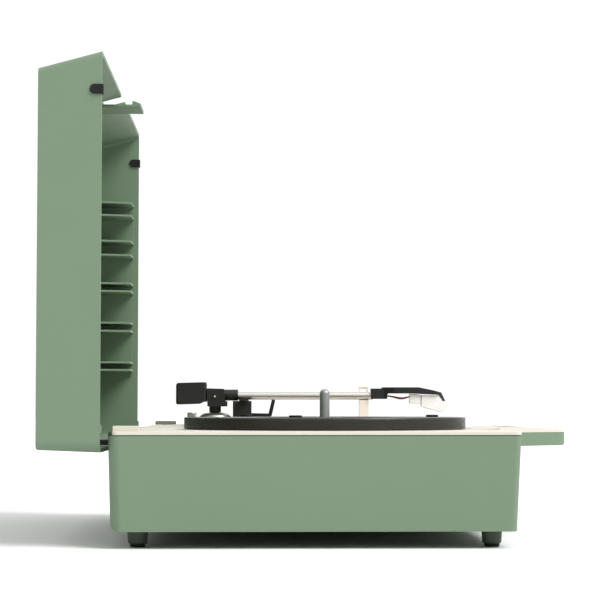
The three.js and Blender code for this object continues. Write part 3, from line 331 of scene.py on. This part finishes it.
def lathed(profile, centre, sides=96, axis="Z", tooth=None):
    """A bmesh of a (radius, height) profile turned about an axis through centre, all in millimetres.
    A profile that starts and ends off the axis closes on itself. tooth(angle, radius, height) may
    return a new radius."""
    bm = bmesh.new()
    rings = []
    for radius, height in profile:
        ring = []
        for k in range(1 if radius == 0 else sides):
            angle = 2 * math.pi * k / sides
            r = tooth(angle, radius, height) if tooth else radius
            c, s = r * math.cos(angle), r * math.sin(angle)
            spot = {"X": (height, c, s), "Y": (s, height, c), "Z": (c, s, height)}[axis]
            ring.append(bm.verts.new((Vector(spot) + Vector(centre)) * MM))
        rings.append(ring)
    pairs = list(zip(rings, rings[1:]))
    if profile[0][0] and profile[-1][0]:
        pairs.append((rings[-1], rings[0]))
    for a, b in pairs:
        for k in range(sides):
            quad = [a[k % len(a)], a[(k + 1) % len(a)], b[(k + 1) % len(b)], b[k % len(b)]]
            corners = [v for i, v in enumerate(quad) if v not in quad[:i]]
            if len(corners) > 2:
                bm.faces.new(corners)
    return bm


# ---------------------------------------------------------------- case, deck and handle

case_body = refined("base_shell", 0.6, name="case_body")
case_body.data.materials[0] = finishes["green_case"]
refined("deck_plate", 0.55, name="deck_plate_cover")
refined("handle_grip", 0.5)
refined("handle_cap", 0.45)
for side in ("left", "right"):
    refined(f"speaker_grille_{side}", 0.3)
    refined(f"speaker_{side}", 0.3)
    refined(f"line_jack_{side}", 0.2)
refined("rear_panel", 0.3)
refined("power_inlet", 0.25)

for spot in ("rear_left", "rear_right", "front_left", "front_right"):
    node = f"foot_pad_{spot}"
    spread = high(node) - low(node)
    radius, tall = spread.x / 2, spread.z
    corners = [(0, 0), (radius - 0.5, 0), (radius, 0.6), (radius, tall), (0, tall)]
    profile = rounded(corners, [0, 0.2, 0.4, 0.25, 0], 4, closed=False)
    at = middle(node)
    stands_for(made(f"foot_{spot}", lathed(profile, (at.x, at.y, 0), 64)), node)

# ---------------------------------------------------------------- platter and drive

axle = (middle("spindle").x, middle("spindle").y, 0)
rim = (high("platter").x - low("platter").x) / 2
foot, top = low("platter").z, high("platter").z
plate = top - 2.5
edge = [(rim - 3, plate), (rim - 3, foot), (rim - 0.6, foot), (rim, foot + 0.6)]
for step in range(6):
    z = foot + 1.1 + step * 0.95
    edge += [(rim, z), (rim - 0.22, z + 0.16), (rim - 0.22, z + 0.4), (rim, z + 0.56)]
edge += rounded([(rim, top - 1.2), (rim - 0.3, top - 0.35), (rim - 1.4, top)], 0.3, 4, closed=False)
bore = (high("spindle").x - low("spindle").x) / 2 + 0.1
ridges = []
for k in range(31):
    r = rim - 3.4 - k * 1.6
    ridges += [(r, top - 0.02), (r - 0.35, top - 0.16), (r - 0.9, top - 0.16), (r - 1.25, top - 0.02)]
inner = [(49.5, top - 0.05), (48.8, top - 0.45), (12, top - 0.45), (11.2, top - 0.05)]
inner += [(4.4, top - 0.05), (bore, top - 0.4)]
hub = [(bore, 76.25), (9.5, 76.25), (9.5, plate), (45.5, plate), (45.5, 76.3), (48, 76.3), (48, plate)]
stands_for(made("platter_plate", lathed(hub + edge + ridges + inner, axle, 180)), "platter")

for k in (1, 2, 3):
    node = f"platter_pad_{k}"
    at, z0, z1 = middle(node), low(node).z, high(node).z
    corners = [(0, z0), (4.5, z0), (4.5, z1 - 0.3), (3.9, z1), (0, z1)]
    profile = rounded(corners, [0, 0.15, 0.3, 0.4, 0], 4, closed=False)
    stands_for(made(f"platter_nub_{k}", lathed(profile, (at.x, at.y, 0), 48)), node)

radius = (high("spindle").x - low("spindle").x) / 2
tip = high("spindle").z
NOSE, NOSE_STEPS = 3.4, 10
profile = [(0, low("spindle").z), (radius, low("spindle").z), (radius, tip - NOSE)]
for k in range(1, NOSE_STEPS):
    angle = math.pi / 2 * k / NOSE_STEPS
    profile.append((radius * math.cos(angle), tip - NOSE + NOSE * math.sin(angle)))
profile.append((0, tip))
stands_for(made("spindle_post", lathed(profile, axle, 64)), "spindle")

# ---------------------------------------------------------------- controls


def knurl(count, depth, from_z, to_z):
    def tooth(angle, radius, height):
        if from_z < height < to_z and radius > 3:
            return radius - depth * (0.5 - 0.5 * math.cos(count * angle))
        return radius
    return tooth


at, z0, z1 = middle("volume_knob"), 77.4, high("volume_knob").z
profile = [(0, 66), (3, 66), (3, z0), (8.4, z0), (8.5, z0 + 0.3), (8.5, z0 + 1.1), (8.5, z0 + 1.9)]
profile += rounded([(8.45, z1 - 0.75), (7.9, z1 - 0.1), (7.4, z1), (6.6, z1 - 0.02)], 0.25, 4, closed=False)
profile += [(6.0, z1 - 0.35), (0, z1 - 0.35)]
dial = lathed(profile, (at.x, at.y, 0), 192, tooth=knurl(48, 0.35, z0 + 0.2, z1 - 0.9))
stands_for(made("volume_dial", dial), "volume_knob")

at, z1 = middle("function_knob"), high("function_knob").z
profile = [(0, 66), (2, 66), (2, z0), (3.9, z0)]
profile += [(3.9, z0 + 1.0), (3.6, z0 + 1.3), (3.6, z0 + 1.5), (3.9, z0 + 1.8)]
profile += rounded([(3.9, z1 - 1.2), (3.9, z1), (0, z1)], 0.6, 5, closed=False)
stands_for(made("function_dial", lathed(profile, (at.x, at.y, 0), 96)), "function_knob")

for node in ("speed_selector", "autostop_switch"):
    refined(node, 0.3)

# ---------------------------------------------------------------- tonearm

at = middle("tonearm_base")
z0, z1 = low("tonearm_base").z, high("tonearm_base").z
profile = [(3.4, z0), (4.8, z0), (4.8, 77.3), (13, 77.3), (13, 82.3)]
dome = [(13, 82.3), (12.2, 84.4), (9.6, 86.1), (6, z1), (4.2, z1), (3.4, z1 - 0.3)]
profile += rounded(dome, 2.5, 5, closed=False)[1:]
stands_for(made("arm_stand", lathed(profile, (at.x, at.y, 0), 96)), "tonearm_base")

refined("arm_rest", 0.3)
refined("arm_clip", 0.3)
refined("lift_housing", 0.5)
refined("lift_platform", 0.3)
refined("cue_lever", 0.35)
refined("arm_yoke", 0.35)
refined("arm_pivot_block", 0.4)
refined("counterweight", 0.5)
refined("headshell", 0.45)
refined("cartridge", 0.4)
refined("stylus_guard", 0.3)
refined("stylus", 0.08)
# The pivot screws are blackened, with a bright socket in the middle of the head.
SCREW_SHANK, SCREW_HEAD, SCREW_SOCKET = 1.25, 2.1, 0.75
for side, out in (("left", -1), ("right", 1)):
    node = f"pivot_screw_{side}"
    at = middle(node)
    tip, face = (low(node).x, high(node).x) if out > 0 else (high(node).x, low(node).x)
    profile = [(0, tip), (SCREW_SHANK, tip), (SCREW_SHANK, face - out), (SCREW_HEAD, face - out)]
    profile += [(SCREW_HEAD, face - 0.25 * out), (SCREW_HEAD - 0.2, face), (SCREW_SOCKET + 0.1, face)]
    profile += [(SCREW_SOCKET, face - 0.1 * out), (0, face - 0.1 * out)]
    screw = stands_for(made(f"{node}_shape", lathed(profile, (0, at.y, at.z), 48, axis="X")), node)
    screw.data.materials.append(finishes["black_steel"])
    for face in screw.data.polygons:
        across = math.hypot(face.center.y / MM - at.y, face.center.z / MM - at.z)
        face.material_index = int(across > SCREW_SOCKET)

box_low, box_high = low("arm_tube"), high("arm_tube")
at = middle("arm_tube")
r = (box_high.x - box_low.x) / 2
corners = [(0, box_low.y), (r, box_low.y), (r, box_high.y), (0, box_high.y)]
profile = rounded(corners, [0, 0.3, 0.3, 0], 4, closed=False)
stands_for(made("arm_tube_rod", lathed(profile, (at.x, 0, at.z), 64, axis="Y")), "arm_tube")

for node in ("wire_red", "wire_dark"):
    refined(node, 0.1)

# ---------------------------------------------------------------- lid

refined("lid_shell", 0.5)
refined("latch_tongue", 0.35)
for side in ("left", "right"):
    refined(f"rib_rack_{side}", 0.35)
    refined(f"rim_clip_{side}", 0.3)
    refined(f"hinge_arm_{side}", 0.4)
    refined(f"hinge_bracket_{side}", 0.25)
    refined(f"hinge_pin_{side}", 0.2)

# Nodes inside the case keep their CAD shape and take a finish.
for node in ("main_board", "motor", "motor_pulley", "platter_bearing", "drive_belt"):
    slots = frame["nodes"][node].data.materials
    for i in range(len(slots)):
        slots[i] = finishes[SLOT[node]]
    if not slots:
        slots.append(finishes[SLOT[node]])

# ---------------------------------------------------------------- studio

floor_mesh = bpy.data.meshes.new("floor")
FLOOR = 14.0
sheet_corners = [(-FLOOR, -FLOOR, 0), (FLOOR, -FLOOR, 0), (FLOOR, FLOOR, 0), (-FLOOR, FLOOR, 0)]
floor_mesh.from_pydata(sheet_corners, [], [(0, 1, 2, 3)])
floor = bpy.data.objects.new("floor", floor_mesh)
scene.collection.objects.link(floor)
paper = Finish("floor_paper", 0.9)
grey = paper.mix(paper.noise(3.0, 2.0), (0.80, 0.80, 0.80, 1), (0.82, 0.82, 0.82, 1))
floor_mesh.materials.append(paper.set(colour=grey))

# A white studio: a backdrop beyond the player, a bright ceiling, and dimmer walls at the other sides.
WALLS, CEILING, BACKDROP = 0.46, 1.05, 1.04
world = bpy.data.worlds.new("studio")
world.use_nodes = True
nodes, links = world.node_tree.nodes, world.node_tree.links
split = nodes.new("ShaderNodeSeparateXYZ")
links.new(nodes.new("ShaderNodeTexCoord").outputs["Generated"], split.inputs[0])
brighter = nodes.new("ShaderNodeMath")
brighter.operation = "MAXIMUM"
for i, (axis, ramp) in enumerate((("Z", (0.3, 0.65, WALLS, CEILING)), ("X", (0.6, 0.85, 0.0, BACKDROP)))):
    fade = nodes.new("ShaderNodeMapRange")
    for key, value in enumerate(ramp, 1):
        fade.inputs[key].default_value = value
    links.new(split.outputs[axis], fade.inputs[0])
    links.new(fade.outputs[0], brighter.inputs[i])
links.new(brighter.outputs[0], nodes["Background"].inputs["Strength"])
nodes["Background"].inputs["Color"].default_value = (1, 1, 1, 1)
scene.world = world


def softbox(name, strength, spread, spot):
    """A broad soft light a long way off, in the direction of spot and spread degrees across."""
    data = bpy.data.lights.new(name, "SUN")
    data.energy = strength
    data.angle = math.radians(spread)
    light = bpy.data.objects.new(name, data)
    light.rotation_euler = (-Vector(spot)).to_track_quat("-Z", "Y").to_euler()
    scene.collection.objects.link(light)


softbox("key", 3.1, 34.0, (-0.52, -0.72, 0.9))

# ---------------------------------------------------------------- camera

# A long lens off the player's left side, just above the deck and near its rear edge. It looks a
# little towards the front, and a little up at the open lid.
SENSOR_WIDTH = 36.0
LENS = 107.64
VIEW_DIRECTION = Vector((1.0, -0.0222965, 0.0602007))
AWAY, BEFORE_REAR, ABOVE_DECK = 1.333, 0.09795, 0.0153
camera_data = bpy.data.cameras.new("camera")
camera_data.sensor_width = SENSOR_WIDTH
camera_data.lens = LENS
camera_data.clip_start = 0.05
camera_data.clip_end = 60.0
camera = bpy.data.objects.new("camera", camera_data)
case_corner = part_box("base_shell")[1]
camera.location = (-AWAY, case_corner.y - BEFORE_REAR, case_corner.z + ABOVE_DECK)
camera.rotation_mode = "QUATERNION"
camera.rotation_quaternion = VIEW_DIRECTION.to_track_quat("-Z", "Y")
scene.collection.objects.link(camera)
scene.camera = camera

scene.view_settings.view_transform = "Standard"
scene.view_settings.look = "None"
